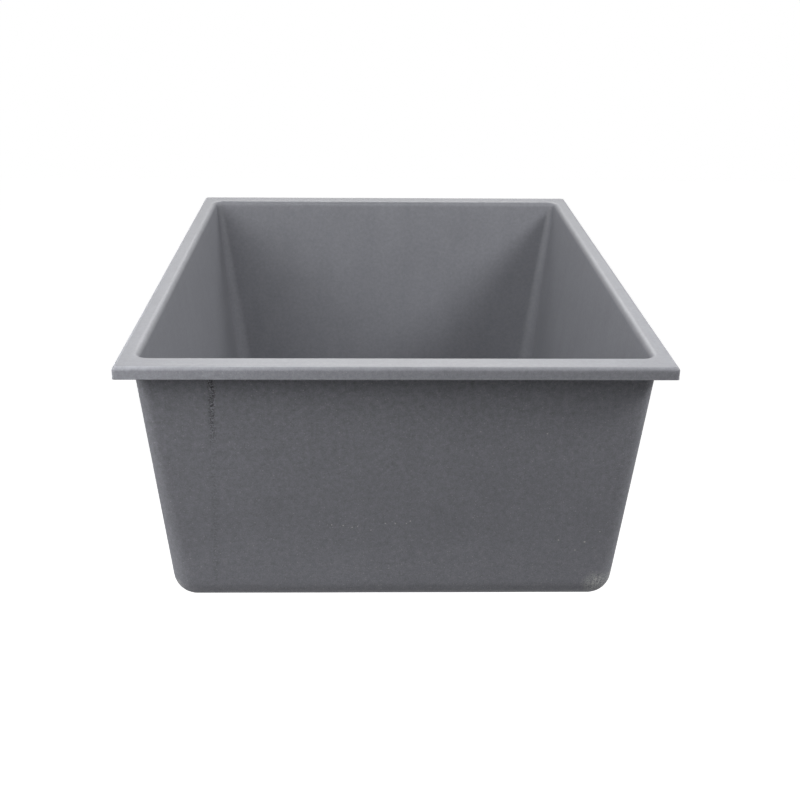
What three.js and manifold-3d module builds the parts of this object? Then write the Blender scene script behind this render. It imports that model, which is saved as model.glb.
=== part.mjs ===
// An undermount kitchen sink: one bowl moulded in grey granite composite, with the basket strainer and
// the tailpiece that make it work. Millimetres, +Z up, +Y along the bowl's length. The origin is the
// centre of the rim's top plane, which lies against the underside of the worktop.
import * as THREE from "three";
import { mergeVertices } from "three/addons/utils/BufferGeometryUtils.js";
import Module from "manifold-3d";

const wasm = await Module();
wasm.setup();

const radians = THREE.MathUtils.degToRad;

// The rim, a flat flange round the bowl. The ledge is its flat top, from the outer face to the lip.
const rim = {
  width: 470,
  length: 626,
  thickness: 11,
  cornerRadius: 3,
  edgeRound: 2.4,
  ledgeSide: 11.6,
  ledgeEnd: 21,
};

// The basin, the hollow inside the bowl. Its corners open out from the top to the bottom.
const basin = {
  lipRound: 6,
  draft: radians(6.2),
  cornerTop: 9,
  cornerBottom: 20,
  floorRound: 16,
  footCornerShare: 0.12,
  floorFall: 6,
  floorThickness: 12,
  floorRingShares: [0.25, 0.5, 0.75],
};

// The shell, the outside of the bowl below the rim. Its corners open out from the top to the bottom.
const shell = {
  height: 248,
  wallThickness: 6.3,
  draft: radians(4.5),
  cornerTop: 12,
  cornerBottom: 23,
  baseRound: 22,
  neckRound: 2.5,
};

// The hole in the floor and the round recess that lets the strainer's flange lie flush.
const drain = {
  holeRadius: 44.5,
  seatWidth: 13,
  recessDepth: 3.2,
  recessRound: 1.6,
};

// Clearances: between a thread and what is on it, round a loose fit, and under a sliding piece.
const threadGap = 0.3;
const looseGap = 1.5;
const slideGap = 0.4;

// The strainer cup, pressed in stainless steel, with a threaded barrel and a threaded spigot.
const cup = {
  flangeThickness: 1.8,
  flangeRound: 0.9,
  wall: 2,
  throatRound: 5,
  ledgeDepth: 9,
  ledgeWidth: 1.6,
  taperLength: 10,
  taperIn: 6,
  outletRadius: 20.5,
  spigotWall: 3,
  spigotLength: 14,
  barWidth: 3,
  barHeight: 4,
  barRise: 5,
  hubWall: 2.6,
  hubGap: 1.1,
  barCount: 4,
};

// The rings that clamp the cup to the floor.
const clamp = {
  padThickness: 1,
  padInset: 1,
  gasketThickness: 3,
  gasketOverlap: 12,
  ringThickness: 1.2,
  ringOverlap: 11,
  nutHeight: 9,
  nutWidth: 8,
  lugCount: 6,
  lugWidth: 11,
  lugReach: 4.5,
};

// The tailpiece and the coupling nut that draws it up to the spigot.
const tail = {
  washerThickness: 1.6,
  tubeRadius: 19,
  tubeWall: 1.6,
  tubeLength: 74,
  flangeThickness: 2,
  flangeReach: 3.8,
  nutWall: 4.4,
  nutLip: 3.5,
  nutGrip: 9,
  ribCount: 12,
  ribWidth: 4,
  ribReach: 1.8,
};

// The basket that lifts out, and the stopper that slides in its hub.
const basket = {
  rimThickness: 1.5,
  wall: 1.4,
  wallGap: 3,
  depth: 26,
  cornerRound: 5,
  hubWall: 2.7,
  hubHeight: 5,
  gripWall: 2.2,
  gripHeight: 2.4,
  slotCount: 16,
  slotWidth: 3,
  slotHeight: 11,
  holeCount: 12,
  holeSides: 8,
  holeRadius: 2,
  holeCircleShare: 0.6,
};
const stopper = {
  travel: 8,
  stemRadius: 2.5,
  stemAboveHub: 21,
  knobRadius: 9,
  knobHeight: 12,
  knobNeckWall: 2.2,
  sealOverlap: 6.5,
  sealThickness: 3,
  washerInset: 2.5,
  washerThickness: 1.2,
  nutWall: 1.8,
  nutHeight: 3.5,
  tipGrip: 3.3,
};

// How finely the round forms are cut.
const cornerSteps = 12;
const roundSteps = 5;
const turnSteps = 48;
const smallTurnSteps = 24;
const hexSides = 6;
const overrun = 5;
const mergeTolerance = 1e-3;
const halfStep = 0.5;

// Heights, worked out from the sizes above.
const baseZ = -shell.height;
const floorLowZ = baseZ + basin.floorThickness;
const floorEdgeZ = floorLowZ + basin.floorFall;
const seatZ = floorLowZ - drain.recessDepth;
const flangeZ = seatZ + clamp.padThickness;
const flangeTopZ = flangeZ + cup.flangeThickness;
const basketLedgeZ = flangeTopZ - cup.ledgeDepth;
const basketBaseZ = basketLedgeZ - basket.depth;
const sealTopZ = basketBaseZ - slideGap;
const sealBaseZ = sealTopZ - stopper.sealThickness;
const cupFloorZ = sealBaseZ - stopper.travel - slideGap;
const barrelEndZ = cupFloorZ + cup.taperLength;
const cupBaseZ = cupFloorZ - cup.wall;
const spigotEndZ = cupBaseZ - cup.spigotLength;
const barLowZ = spigotEndZ + cup.barRise;
const barHighZ = barLowZ + cup.barHeight;

// Radii that pieces share.
const recessRadius = drain.holeRadius + drain.seatWidth;
const flangeRadius = recessRadius - looseGap;
const barrelRadius = drain.holeRadius - looseGap;
const throatRadius = barrelRadius - cup.wall;
const boreRadius = throatRadius - cup.ledgeWidth;
const basketRimRadius = throatRadius - slideGap;
const basketRadius = boreRadius - basket.wallGap;
const spigotRadius = cup.outletRadius + cup.spigotWall;

// A closed loop of points round a rounded rectangle at height z, corner by corner.
function rectangleRing(halfX, halfY, radius, z) {
  const points = [];
  for (let corner = 0; corner < 4; corner++) {
    const signX = corner === 0 || corner === 3 ? 1 : -1;
    const signY = corner < 2 ? 1 : -1;
    for (let step = 0; step <= cornerSteps; step++) {
      const angle = ((corner + step / cornerSteps) * Math.PI) / 2;
      const x = signX * (halfX - radius) + radius * Math.cos(angle);
      const y = signY * (halfY - radius) + radius * Math.sin(angle);
      points.push(new THREE.Vector3(x, y, z));
    }
  }
  return points;
}

// A circle with as many points, spaced so that each corner's points keep to their own quarter.
function circleRing(radius, z) {
  const points = [];
  for (let corner = 0; corner < 4; corner++) {
    for (let step = 0; step <= cornerSteps; step++) {
      const angle = ((corner + (step + halfStep) / (cornerSteps + 1)) * Math.PI) / 2;
      points.push(new THREE.Vector3(radius * Math.cos(angle), radius * Math.sin(angle), z));
    }
  }
  return points;
}

// A ring part of the way from one ring to another.
function blendRings(from, to, share) {
  return from.map((point, i) => point.clone().lerp(to[i], share));
}

// The skin over a row of rings, closed from the last ring back to the first.
function skinOverRings(rings) {
  const count = rings[0].length;
  const index = [];
  rings.forEach((ring, row) => {
    const next = (row + 1) % rings.length;
    for (let i = 0; i < count; i++) {
      const j = (i + 1) % count;
      index.push(row * count + i, next * count + i, next * count + j);
      index.push(row * count + i, next * count + j, row * count + j);
    }
  });
  return new THREE.BufferGeometry().setFromPoints(rings.flat()).setIndex(index);
}

// Points of an arc in a profile: centre, radius, and the angles from and to, in radians.
function arc(centreR, centreZ, radius, from, to) {
  const points = [];
  for (let step = 0; step <= roundSteps; step++) {
    const angle = from + ((to - from) * step) / roundSteps;
    points.push([centreR + radius * Math.cos(angle), centreZ + radius * Math.sin(angle)]);
  }
  return points;
}

// A solid turned about +Z from a closed profile of [radius, z], listed anticlockwise.
function turned(profile, steps = turnSteps) {
  const points = [...profile, profile[0]].map(([radius, z]) => new THREE.Vector2(radius, z));
  return new THREE.LatheGeometry(points, steps).rotateX(Math.PI / 2);
}

// A flat ring with square edges.
function flatRing(inner, outer, low, high, steps = turnSteps) {
  return turned([[inner, low], [outer, low], [outer, high], [inner, high]], steps);
}

// A disc or a prism standing on low.
function prism(radius, low, high, sides = smallTurnSteps) {
  const geometry = new THREE.CylinderGeometry(radius, radius, high - low, sides);
  return geometry.rotateX(Math.PI / 2).translate(0, 0, (low + high) / 2);
}

// A block by its width along X, length along Y, and its low and high ends.
function block(width, length, low, high) {
  return new THREE.BoxGeometry(width, length, high - low).translate(0, 0, (low + high) / 2);
}

function toSolid(geometry) {
  const bare = geometry.clone();
  bare.deleteAttribute("normal");
  bare.deleteAttribute("uv");
  const merged = mergeVertices(bare, mergeTolerance);
  const mesh = new wasm.Mesh({
    numProp: 3,
    vertProperties: new Float32Array(merged.attributes.position.array),
    triVerts: new Uint32Array(merged.index.array),
  });
  return new wasm.Manifold(mesh);
}

function toGeometry(solid) {
  const mesh = solid.getMesh();
  const positions = new THREE.BufferAttribute(new Float32Array(mesh.vertProperties), 3);
  const geometry = new THREE.BufferGeometry().setAttribute("position", positions);
  return geometry.setIndex(new THREE.BufferAttribute(new Uint32Array(mesh.triVerts), 1));
}

// A base geometry with others joined to it, and others cut from it.
function shaped(base, joined, cut) {
  let solid = toSolid(base);
  for (const geometry of joined) solid = solid.add(toSolid(geometry));
  for (const geometry of cut) solid = solid.subtract(toSolid(geometry));
  return toGeometry(solid);
}

// Copies of what make builds, turned evenly about +Z.
function around(count, make) {
  return Array.from({ length: count }, (_, i) => make().rotateZ((i * 2 * Math.PI) / count));
}

// The half sizes of the basin at a depth, and of the shell.
function basinHalf(depth) {
  const inset = basin.lipRound * Math.cos(basin.draft);
  const lipDepth = basin.lipRound * (1 - Math.sin(basin.draft));
  const taper = (depth - lipDepth) * Math.tan(basin.draft);
  return {
    x: rim.width / 2 - rim.ledgeSide - inset - taper,
    y: rim.length / 2 - rim.ledgeEnd - inset - taper,
  };
}

function shellHalf(depth) {
  const top = basinHalf(rim.thickness);
  const taper = (depth - rim.thickness) * Math.tan(shell.draft);
  return { x: top.x + shell.wallThickness - taper, y: top.y + shell.wallThickness - taper };
}

// Rings down a drafted wall's foot, rounded into a flat at the given depth.
function footRings(halfAt, draft, depth, round, cornerAt) {
  const touchDepth = depth - round + round * Math.sin(draft);
  const half = halfAt(touchDepth);
  const corner = cornerAt(touchDepth);
  return arc(0, -depth + round, round, -draft, -Math.PI / 2).map(([out, z]) => {
    const inset = round * Math.cos(draft) - out;
    const radius = Math.max(corner - inset, corner * basin.footCornerShare);
    return rectangleRing(half.x - inset, half.y - inset, radius, z);
  });
}

function rimRings() {
  const halfX = rim.width / 2;
  const halfY = rim.length / 2;
  const flatX = halfX - rim.edgeRound;
  const flatY = halfY - rim.edgeRound;
  const rounded = arc(0, -rim.edgeRound, rim.edgeRound, Math.PI / 2, 0).map(([out, z]) =>
    rectangleRing(flatX + out, flatY + out, rim.cornerRadius, z)
  );
  return [...rounded, rectangleRing(halfX, halfY, rim.cornerRadius, -rim.thickness)];
}

// The neck is the small fillet between the rim's underside and the shell's wall.
function shellRings() {
  const neckDepth = rim.thickness + shell.neckRound * (1 - Math.sin(shell.draft));
  const neck = shellHalf(neckDepth);
  const centre = shell.neckRound * Math.cos(shell.draft);
  const fillet = arc(centre, -rim.thickness - shell.neckRound, shell.neckRound, Math.PI / 2,
    Math.PI - shell.draft).map(([out, z]) =>
    rectangleRing(neck.x + out, neck.y + out, shell.cornerTop + out, z)
  );
  const cornerAt = (depth) => {
    const share = (depth - neckDepth) / (shell.height - shell.baseRound - neckDepth);
    return shell.cornerTop + (shell.cornerBottom - shell.cornerTop) * share;
  };
  const foot = footRings(shellHalf, shell.draft, shell.height, shell.baseRound, cornerAt);
  return [...fillet, ...foot];
}

function drainRings() {
  const edge = recessRadius + drain.recessRound;
  const lip = arc(edge, floorLowZ - drain.recessRound, drain.recessRound, Math.PI, Math.PI / 2);
  return [
    circleRing(drain.holeRadius, baseZ),
    circleRing(drain.holeRadius, seatZ),
    circleRing(recessRadius, seatZ),
    ...lip.map(([radius, z]) => circleRing(radius, z)),
  ];
}

function basinRings() {
  const floorDepth = -floorEdgeZ;
  const lipDepth = basin.lipRound * (1 - Math.sin(basin.draft));
  const cornerAt = (depth) => {
    const share = (depth - lipDepth) / (floorDepth - lipDepth);
    return basin.cornerTop + (basin.cornerBottom - basin.cornerTop) * share;
  };
  const foot = footRings(basinHalf, basin.draft, floorDepth, basin.floorRound, cornerAt);
  const flatX = rim.width / 2 - rim.ledgeSide;
  const flatY = rim.length / 2 - rim.ledgeEnd;
  const top = basinHalf(lipDepth);
  const lip = arc(0, -basin.lipRound, basin.lipRound, basin.draft, Math.PI / 2).map(([out, z]) => {
    const grown = flatX - out - top.x;
    return rectangleRing(flatX - out, flatY - out, basin.cornerTop + grown, z);
  });
  return [...foot.reverse(), ...lip];
}

function makeBowl() {
  const floorOuter = basinRings();
  const drainPart = drainRings();
  const drainEdge = drainPart[drainPart.length - 1];
  const floor = basin.floorRingShares.map((share) => blendRings(drainEdge, floorOuter[0], share));
  return skinOverRings([...rimRings(), ...shellRings(), ...drainPart, ...floor, ...floorOuter]);
}

function makeStrainerCup() {
  const taperRadius = boreRadius - cup.taperIn;
  const outerTaperRadius = taperRadius + cup.wall;
  const throat = arc(throatRadius + cup.throatRound, flangeTopZ - cup.throatRound, cup.throatRound,
    Math.PI / 2, Math.PI);
  const edge = arc(flangeRadius - cup.flangeRound, flangeTopZ - cup.flangeRound, cup.flangeRound,
    0, Math.PI / 2);
  const profile = [
    [spigotRadius, spigotEndZ],
    [spigotRadius, cupBaseZ],
    [outerTaperRadius, cupBaseZ],
    [barrelRadius, barrelEndZ],
    [barrelRadius, flangeZ],
    [flangeRadius, flangeZ],
    ...edge,
    ...throat,
    [throatRadius, basketLedgeZ],
    [boreRadius, basketLedgeZ],
    [boreRadius, barrelEndZ],
    [taperRadius, cupFloorZ],
    [cup.outletRadius, cupFloorZ],
    [cup.outletRadius, spigotEndZ],
  ];
  const hubInner = stopper.stemRadius + cup.hubGap;
  const hub = flatRing(hubInner, hubInner + cup.hubWall, barLowZ, barHighZ, smallTurnSteps);
  const barStart = hubInner + cup.hubWall / 2;
  const barEnd = cup.outletRadius + cup.spigotWall / 2;
  const bars = around(cup.barCount, () =>
    block(barEnd - barStart, cup.barWidth, barLowZ, barHighZ).translate((barStart + barEnd) / 2, 0, 0)
  );
  return shaped(turned(profile), [hub, ...bars], []);
}

// The rings under the floor, and the pad under the strainer's flange.
const gasketZ = baseZ - clamp.gasketThickness;
const frictionZ = gasketZ - clamp.ringThickness;
const ringRadius = barrelRadius + threadGap;

function makeLocknut() {
  const outer = ringRadius + clamp.nutWidth;
  const low = frictionZ - clamp.nutHeight;
  const lugLength = clamp.nutWidth / 2 + clamp.lugReach;
  const lugs = around(clamp.lugCount, () =>
    block(lugLength, clamp.lugWidth, low, frictionZ).translate(outer + clamp.lugReach - lugLength / 2, 0, 0)
  );
  return shaped(flatRing(ringRadius, outer, low, frictionZ), lugs, []);
}

const tailTopZ = spigotEndZ - tail.washerThickness;
const tailFlangeRadius = tail.tubeRadius + tail.flangeReach;
const tubeBore = tail.tubeRadius - tail.tubeWall;

function makeTailpiece() {
  const low = tailTopZ - tail.tubeLength;
  const under = tailTopZ - tail.flangeThickness;
  return turned([
    [tubeBore, low],
    [tail.tubeRadius, low],
    [tail.tubeRadius, under],
    [tailFlangeRadius, under],
    [tailFlangeRadius, tailTopZ],
    [tubeBore, tailTopZ],
  ]);
}

function makeCouplingNut() {
  const bore = spigotRadius + threadGap;
  const outer = bore + tail.nutWall;
  const under = tailTopZ - tail.flangeThickness;
  const low = under - tail.nutLip;
  const high = spigotEndZ + tail.nutGrip;
  const body = turned([
    [tail.tubeRadius + threadGap, low],
    [outer, low],
    [outer, high],
    [bore, high],
    [bore, under],
    [tail.tubeRadius + threadGap, under],
  ]);
  const ribLength = tail.nutWall / 2 + tail.ribReach;
  const ribs = around(tail.ribCount, () =>
    block(ribLength, tail.ribWidth, low, high).translate(outer + tail.ribReach - ribLength / 2, 0, 0)
  );
  return shaped(body, ribs, []);
}

// The basket's hub holds a rubber ring that grips the stopper's stem.
const onStem = stopper.stemRadius + threadGap;
const basketFloorZ = basketBaseZ + basket.wall;
const hubTopZ = basketFloorZ + basket.hubHeight;
const gripRadius = onStem + basket.gripWall;
const gripLowZ = hubTopZ - basket.gripHeight;

function makeBasket() {
  const rimTopZ = basketLedgeZ + basket.rimThickness;
  const inner = basketRadius - basket.wall;
  const stemHole = stopper.stemRadius + slideGap;
  const gripHole = gripRadius + threadGap;
  const hubRadius = gripHole + basket.hubWall;
  const outerCorner = arc(basketRadius - basket.cornerRound, basketBaseZ + basket.cornerRound,
    basket.cornerRound, -Math.PI / 2, 0);
  const innerRound = basket.cornerRound - basket.wall;
  const innerCorner = arc(inner - innerRound, basketFloorZ + innerRound, innerRound, 0, -Math.PI / 2);
  const body = turned([
    [stemHole, basketBaseZ],
    ...outerCorner,
    [basketRadius, basketLedgeZ],
    [basketRimRadius, basketLedgeZ],
    [basketRimRadius, rimTopZ],
    [inner, rimTopZ],
    ...innerCorner,
    [hubRadius, basketFloorZ],
    [hubRadius, hubTopZ],
    [gripHole, hubTopZ],
    [gripHole, gripLowZ],
    [stemHole, gripLowZ],
  ]);
  const slotMiddleZ = (basketBaseZ + basket.cornerRound + basketLedgeZ) / 2;
  const slotLow = slotMiddleZ - basket.slotHeight / 2;
  const slots = around(basket.slotCount, () =>
    block(overrun * 2, basket.slotWidth, slotLow, slotLow + basket.slotHeight)
      .translate(basketRadius, 0, 0)
  );
  const holes = around(basket.holeCount, () =>
    prism(basket.holeRadius, basketBaseZ - overrun, basketFloorZ + overrun, basket.holeSides)
      .translate(inner * basket.holeCircleShare, 0, 0)
  );
  return shaped(body, [], [...slots, ...holes]);
}

// The stopper is drawn up, so that the drain is open. Its seal hangs just under the basket, and the
// tip of its stem is in the hub of the cup's cross bars.
const sealRadius = cup.outletRadius + stopper.sealOverlap;
const sealWasherRadius = cup.outletRadius - stopper.washerInset;
const washerBaseZ = sealBaseZ - stopper.washerThickness;
const stemNutBaseZ = washerBaseZ - stopper.nutHeight;
const stemTopZ = hubTopZ + stopper.stemAboveHub;
const stemTipZ = barHighZ - stopper.tipGrip;

function makeKnob() {
  const high = stemTopZ + stopper.knobHeight / 3;
  const low = high - stopper.knobHeight;
  const round = stopper.knobHeight / 4;
  const capLow = low + stopper.knobHeight / 2;
  const neckRadius = onStem + stopper.knobNeckWall;
  const profile = [
    [onStem, low],
    [neckRadius, low],
    [neckRadius, capLow],
    [stopper.knobRadius, capLow],
    ...arc(stopper.knobRadius - round, high - round, round, 0, Math.PI / 2),
    [0, high],
    [0, stemTopZ + threadGap],
    [onStem, stemTopZ + threadGap],
  ];
  return turned(profile, smallTurnSteps);
}

function makeStem() {
  return prism(stopper.stemRadius, stemTipZ, stemTopZ);
}

function makeStemNut() {
  const nut = prism(onStem + stopper.nutWall, stemNutBaseZ, washerBaseZ, hexSides);
  return shaped(nut, [], [prism(onStem, stemNutBaseZ - overrun, washerBaseZ + overrun)]);
}

// Colours and finishes, as three.js materials.
const finishes = {
  composite: { color: 0x76787c, roughness: 0.62, metalness: 0 },
  stainless: { color: 0xb9bcbf, roughness: 0.28, metalness: 1 },
  rubber: { color: 0x1d1e20, roughness: 0.8, metalness: 0 },
  fibre: { color: 0xb89a6a, roughness: 0.9, metalness: 0 },
  brass: { color: 0xb7924a, roughness: 0.35, metalness: 1 },
  plastic: { color: 0xe6e7e8, roughness: 0.5, metalness: 0 },
};

const sink = new THREE.Group();

function place(group, name, geometry, finish) {
  const mesh = new THREE.Mesh(geometry, new THREE.MeshStandardMaterial(finishes[finish]));
  mesh.name = name;
  group.add(mesh);
}

place(sink, "bowl", makeBowl(), "composite");
place(sink, "flange_pad", flatRing(drain.holeRadius, flangeRadius - clamp.padInset, seatZ, flangeZ),
  "rubber");
place(sink, "strainer_cup", makeStrainerCup(), "stainless");
place(sink, "sink_gasket", flatRing(ringRadius, ringRadius + clamp.gasketOverlap, gasketZ, baseZ), "rubber");
place(sink, "friction_ring", flatRing(ringRadius, ringRadius + clamp.ringOverlap, frictionZ, gasketZ),
  "fibre");
place(sink, "locknut", makeLocknut(), "stainless");
place(sink, "tailpiece_washer", flatRing(tubeBore, tailFlangeRadius, tailTopZ, spigotEndZ), "plastic");
place(sink, "tailpiece", makeTailpiece(), "stainless");
place(sink, "coupling_nut", makeCouplingNut(), "brass");

const liftOut = new THREE.Group();
place(liftOut, "basket", makeBasket(), "stainless");
place(liftOut, "grip_ring", flatRing(onStem, gripRadius, gripLowZ, hubTopZ, smallTurnSteps), "rubber");
sink.add(liftOut);

const plug = new THREE.Group();
place(plug, "stopper_stem", makeStem(), "stainless");
place(plug, "stopper_knob", makeKnob(), "stainless");
place(plug, "stopper_seal", flatRing(onStem, sealRadius, sealBaseZ, sealTopZ), "rubber");
place(plug, "seal_washer", flatRing(onStem, sealWasherRadius, washerBaseZ, sealBaseZ), "stainless");
place(plug, "stem_nut", makeStemNut(), "brass");
liftOut.add(plug);

export default sink;
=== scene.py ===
# An undermount kitchen sink in grey granite composite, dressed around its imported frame.
import math

import bmesh
import bpy
from mathutils import Matrix, Vector, noise


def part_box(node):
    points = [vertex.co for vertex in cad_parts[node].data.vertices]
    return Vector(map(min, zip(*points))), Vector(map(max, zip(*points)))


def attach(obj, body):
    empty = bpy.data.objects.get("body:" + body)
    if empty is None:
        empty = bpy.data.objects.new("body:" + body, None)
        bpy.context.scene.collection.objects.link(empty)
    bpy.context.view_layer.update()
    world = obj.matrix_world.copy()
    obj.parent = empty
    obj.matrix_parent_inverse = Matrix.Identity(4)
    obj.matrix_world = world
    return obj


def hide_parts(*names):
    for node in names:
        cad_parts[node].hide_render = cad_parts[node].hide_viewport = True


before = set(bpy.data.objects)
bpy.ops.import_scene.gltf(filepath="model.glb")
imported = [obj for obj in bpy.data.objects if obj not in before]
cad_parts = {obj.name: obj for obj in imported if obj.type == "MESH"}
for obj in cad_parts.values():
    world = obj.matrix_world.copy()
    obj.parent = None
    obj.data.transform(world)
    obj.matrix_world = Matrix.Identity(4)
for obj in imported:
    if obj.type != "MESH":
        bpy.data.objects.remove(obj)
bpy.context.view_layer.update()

MM = 0.001

# Sizes that the frame gives.
BOWL_LOW, BOWL_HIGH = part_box("bowl")
HALF_WIDTH = BOWL_HIGH.x
HALF_LENGTH = BOWL_HIGH.y
BASE_Z = BOWL_LOW.z

# The rim.
RIM_THICKNESS = 11 * MM
RIM_CORNER = 1.6 * MM
RIM_TOP_ROUND = 3.2 * MM
RIM_FOOT_ROUND = 0.7 * MM
RIM_CORNER_GROWTH = 0.2
FACE_CORNER_EXTRA = 0.8 * MM
FACE_FINISH = 0.6
LEDGE_SIDE = 11.6 * MM
LEDGE_END = 21 * MM

# The basin.
LIP_ROUND = 6 * MM
BASIN_DRAFT = math.radians(6.2)
BASIN_CORNER_TOP = 9 * MM
BASIN_CORNER_BOTTOM = 20 * MM
FLOOR_ROUND = 16 * MM
FLOOR_FALL = 6 * MM
FLOOR_THICKNESS = 12 * MM

# The outside of the bowl.
WALL_THICKNESS = 6.3 * MM
SHELL_DRAFT = math.radians(4.5)
SHELL_CORNER_TOP = 12 * MM
SHELL_CORNER_BOTTOM = 23 * MM
BASE_ROUND = 22 * MM
NECK_ROUND = 2.5 * MM

# The moulding's colours, specks, flecks and scuffs. Specks are x, depth under the rim's top and radius on
# the front wall, and scuffs are a place and a reach, all in millimetres. Flecks are how many in a metre,
# radius, share of the places that have one, strength and colour.
OUTSIDE_DARK = (0.1475, 0.150, 0.168, 1)
OUTSIDE_LIGHT = (0.2345, 0.237, 0.262, 1)
INSIDE_DARK = (0.216, 0.220, 0.2405, 1)
INSIDE_LIGHT = (0.242, 0.246, 0.268, 1)
FLECK = (0.40, 0.41, 0.42, 1)
WHITE_FLECK = (0.62, 0.62, 0.60, 1)
WALL_SPECKS = (
    (-46, 165, 0.9), (-38, 167, 0.8), (-33, 166, 0.7), (-21, 170, 0.7), (-8, 163, 0.8), (1, 163, 0.9),
    (11, 163, 0.7), (150, 181, 0.9), (174, 183, 1.1), (166, 192, 0.8), (187, 172, 0.8),
    (71, 157, 0.6), (132, 71, 0.8), (74, 69, 0.6),
)
SPECK_CORE = 0.4
SPECK_STRENGTH = 0.7
FLECKS = (
    (430, 0.55 * MM, 0.16, 0.6, FLECK),
    (70, 0.75 * MM, 0.06, 0.75, WHITE_FLECK),
)
FLECK_CORE = 0.6
SCUFFS = (
    ((188, -268, -229), 16),
    ((200, -258, -226), 12),
    ((206, -250, -205), 9),
    ((-196, -262, -232), 9),
)
SCUFF_CORE = 0.2
SCUFF_STRENGTH = 0.95

# The moulding's patterns: how often each repeats in a metre, its detail and its roughness.
GRAIN = (950, 3, 0.75)
FINE_GRAIN = (2200, 2, 0.5)
MOTTLE = (26, 3, 0.5)
CLOUDS = (240, 4, 0.7)
STREAKS = (55, 3, 0.5)
CRUMBS = (800, 3, 0.8)
HOLES = (650, 3, 0.75)

# What they do: from and to, for a noise's usual range or for the one that stands first.
NOISE_MIDDLE = 0.5
NOISE_RANGE = (0.3, 0.7)
MOTTLE_SHADE = (0.97, 1.03)
STREAK_SHADE = (0.975, 1.025)
STREAK_STRETCH = (1, 1, 0.06)
CRUMB_RANGE = (0.47, 0.55)
HOLE_RANGE = (0.42, 0.62)
# Painted shade in the seam's pits and painted highlights on the grains between them.
HOLE_SHADE_AND_GLINT = (0.12, 1.5)
HOLE_GAIN = 1.6
CLOUD_HEIGHTS = (-150 * MM, -30 * MM)
CLOUD_OUTSIDE = (0.7, 1.15)
CLOUD_INSIDE = 0.45
OUTSIDE_ROUGHNESS = (0.6, 0.78)
INSIDE_ROUGHNESS = (0.42, 0.5)
GRAIN_HEIGHT = 0.25 * MM
GRAIN_STRENGTH = 0.6
GRAIN_INSIDE = 0.2

# Painted light and shade over the moulding: painted light on the rim's face, fading from left to right, a
# painted highlight on the thin edge at its foot, painted light and shade on the rim's flat top, and
# painted bounce light on the foot of the outside.
FACE_LIGHT_LEFT = 1.54
FACE_LIGHT_RIGHT = 1.02
FACE_LIGHT_POWER = 1.8
EDGE_HIGHLIGHT = 1.14
EDGE_HIGHLIGHT_HEIGHTS = (-RIM_THICKNESS + 2.2 * MM, -RIM_THICKNESS + 1 * MM)
FLAT_LIGHT_MIDDLE = 0.94
FLAT_LIGHT_SIDE = 1.13
FLAT_SHADE_BACK = 0.88
FLAT_HEIGHTS = (-3 * MM, -0.5 * MM)
FOOT_BOUNCE_LIGHT = 1.16
FOOT_BOUNCE_LIGHT_HEIGHTS = (-165 * MM, -215 * MM)

# The moulding's slight waves: how often they repeat in a metre, and their height.
WAVE_SCALE = 9
WAVE_HEIGHT = 0.12 * MM
RIPPLE_SCALE = 47
RIPPLE_HEIGHT = 0.02 * MM
RIPPLE_START = Vector((5, 0, 0))
WAVE_INSIDE = 0.5

# The mould's seam down the front wall, rough and pitted under the rim.
SEAM_TOP = Vector((-156.3, 0, -12)) * MM
SEAM_FOOT = Vector((-162.6, 0, -200)) * MM
SEAM_WIDTH = 2.6 * MM
SEAM_SWAY = 1.6 * MM
SEAM_PIT_DEPTH = 84 * MM
SEAM_FAINT = 0.08
SEAM_FADE = 0.7
SEAM_SWAY_SCALE = 110
SEAM_SINK = 0.05
FRONT_WALL_REACH = 60 * MM
PIT_SCALE = 420
PIT_FINE_SCALE = 800
PIT_FINE_SHARE = 0.5
PIT_ROUGHNESS = 1.2
PIT_SINK = 0.3

# The hole in the floor.
HOLE_RADIUS = 44.5 * MM
RECESS_RADIUS = 57.5 * MM
RECESS_DEPTH = 3.2 * MM
RECESS_ROUND = 1.6 * MM

# The drain's pieces: the walls, bores and gaps that their boxes don't give.
THREAD_GAP = 0.3 * MM
SLIDE_GAP = 0.4 * MM
FLANGE_THICKNESS = 1.8 * MM
FLANGE_EDGE = 0.9 * MM
CUP_WALL = 2 * MM
BARREL_RADIUS = 43 * MM
THROAT_RADIUS = BARREL_RADIUS - CUP_WALL
THROAT_ROUND = 5 * MM
LEDGE_DEPTH = 9 * MM
LEDGE_WIDTH = 1.6 * MM
TAPER_IN = 6 * MM
OUTLET_RADIUS = 20.5 * MM
SPIGOT_RADIUS = 23.5 * MM
BARREL_PITCH = 2.4 * MM
SPIGOT_PITCH = 2 * MM
BARREL_CUT = 0.75 * MM
SPIGOT_CUT = 0.6 * MM
BAR_WIDTH = 3 * MM
BAR_LENGTHS = (3.6 * MM, 21.6 * MM)
BAR_HEIGHTS = (5 * MM, 9 * MM)
BAR_COUNT = 4
HUB_RADII = (3.6 * MM, 6.2 * MM)
NUT_WIDTH = 8 * MM
LUG_COUNT = 6
LUG_WIDTH = 11 * MM
LUG_REACH = 4.5 * MM
TUBE_RADIUS = 19 * MM
TUBE_WALL = 1.6 * MM
TUBE_FLANGE = 2 * MM
COUPLING_WALL = 4.4 * MM
COUPLING_LIP = 3.5 * MM
RIB_COUNT = 12
RIB_WIDTH = 4 * MM
RIB_REACH = 1.8 * MM
BASKET_RADIUS = 36.4 * MM
BASKET_WALL = 1.4 * MM
BASKET_RIM = 1.5 * MM
BASKET_CORNER = 5 * MM
BASKET_COLUMNS = 144
SLOT_COUNT = 16
SLOT_HEIGHT = 11 * MM
HOLE_COUNT = 12
FLOOR_HOLE_RADIUS = 2 * MM
FLOOR_HOLE_CIRCLE = 21 * MM
HUB_WALL = 2.7 * MM
STEM_RADIUS = 2.5 * MM
STEM_PITCH = 0.8 * MM
KNOB_NECK = 5 * MM
KNOB_FLUTES = 20
TURN_STEPS = 128
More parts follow.
